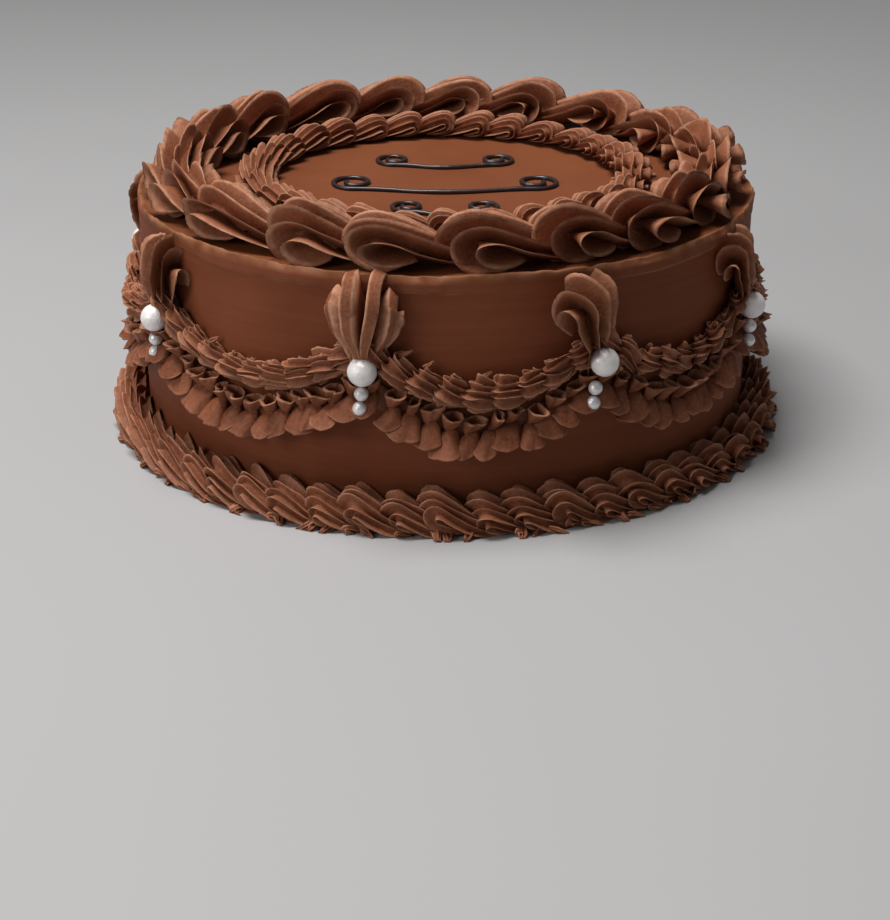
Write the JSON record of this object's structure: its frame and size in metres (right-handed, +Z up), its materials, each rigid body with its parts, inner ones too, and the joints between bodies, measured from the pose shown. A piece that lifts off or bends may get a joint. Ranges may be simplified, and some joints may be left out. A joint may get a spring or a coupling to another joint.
{
  "type": "layer cake",
  "caption": "Round iced layer cake with a ruffled top border, shell borders, swags with a pleated frill, plumes and sugar pearls.",
  "frame": {"origin": "centre of the cake's flat underside", "axes": "+Z up, the front faces -Y, +X to the right as the front is seen"},
  "size_m": [0.2328, 0.2323, 0.0976],
  "materials": {
    "smoothed_buttercream": "smoothed chocolate buttercream, satin",
    "piped_buttercream": "piped chocolate buttercream, matt",
    "sugar_pearl": "pearly white sugar",
    "dark_chocolate": "dark chocolate piping"
  },
  "bodies": {
    "root": {"cake_body": "smoothed_buttercream", "top_ruffle_border": "piped_buttercream", "inner_shell_border": "piped_buttercream", "base_shell_border": "piped_buttercream", "plume_1": "piped_buttercream", "plume_2": "piped_buttercream", "plume_3": "piped_buttercream", "plume_4": "piped_buttercream", "plume_5": "piped_buttercream", "plume_6": "piped_buttercream", "plume_7": "piped_buttercream", "plume_8": "piped_buttercream", "plume_9": "piped_buttercream", "swag_1": "piped_buttercream", "swag_2": "piped_buttercream", "swag_3": "piped_buttercream", "swag_4": "piped_buttercream", "swag_5": "piped_buttercream", "swag_6": "piped_buttercream", "swag_7": "piped_buttercream", "swag_8": "piped_buttercream", "swag_9": "piped_buttercream", "frill_1": "piped_buttercream", "frill_2": "piped_buttercream", "frill_3": "piped_buttercream", "frill_4": "piped_buttercream", "frill_5": "piped_buttercream", "frill_6": "piped_buttercream", "frill_7": "piped_buttercream", "frill_8": "piped_buttercream", "frill_9": "piped_buttercream", "pearl_1": "sugar_pearl", "pearl_2": "sugar_pearl", "pearl_3": "sugar_pearl", "pearl_4": "sugar_pearl", "pearl_5": "sugar_pearl", "pearl_6": "sugar_pearl", "pearl_7": "sugar_pearl", "pearl_8": "sugar_pearl", "pearl_9": "sugar_pearl", "flourish_back": "dark_chocolate", "flourish_middle": "dark_chocolate", "flourish_front": "dark_chocolate"}
  },
  "joints": []
}
